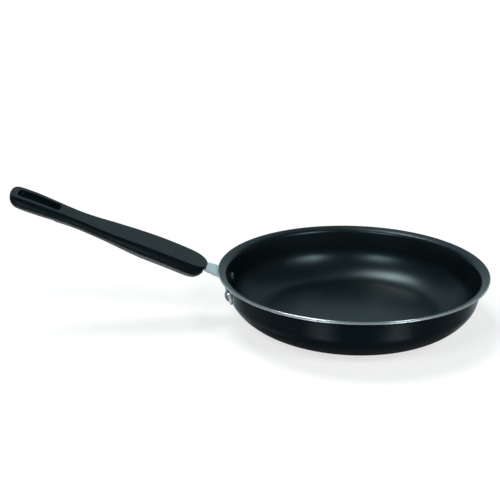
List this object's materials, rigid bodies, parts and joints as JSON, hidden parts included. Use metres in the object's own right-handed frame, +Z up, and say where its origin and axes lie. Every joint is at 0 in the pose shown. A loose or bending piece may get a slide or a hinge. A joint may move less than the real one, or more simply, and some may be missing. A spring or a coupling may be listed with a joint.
{
  "type": "omelette pan",
  "caption": "Shallow round omelette pan with a flared rim, black coating, a riveted metal strap and a long moulded handle with a hanging slot.",
  "frame": {"origin": "the middle of the flat base, on the surface that the pan stands on", "axes": "+Z up along the bowl's axis; the handle points to -X and rises as it goes; Y is across the handle"},
  "size_m": [0.4192, 0.24, 0.1188],
  "materials": {
    "pan_coating": "aluminium sheet under gloss black enamel outside and black non-stick inside, bare at the rim's turned edge and under the base",
    "strap_steel": "satin, plated",
    "rivet_metal": "bright, domed by the press",
    "grip_phenolic": "satin black phenolic moulding",
    "screw_steel": "zinc plated"
  },
  "bodies": {
    "root": {"pan_shell": "pan_coating", "handle_bracket": "strap_steel", "rivet_front": "rivet_metal", "rivet_back": "rivet_metal", "grip": "grip_phenolic", "grip_screw": "screw_steel", "screw_washer": "screw_steel", "tang_nut": "screw_steel"}
  },
  "joints": []
}
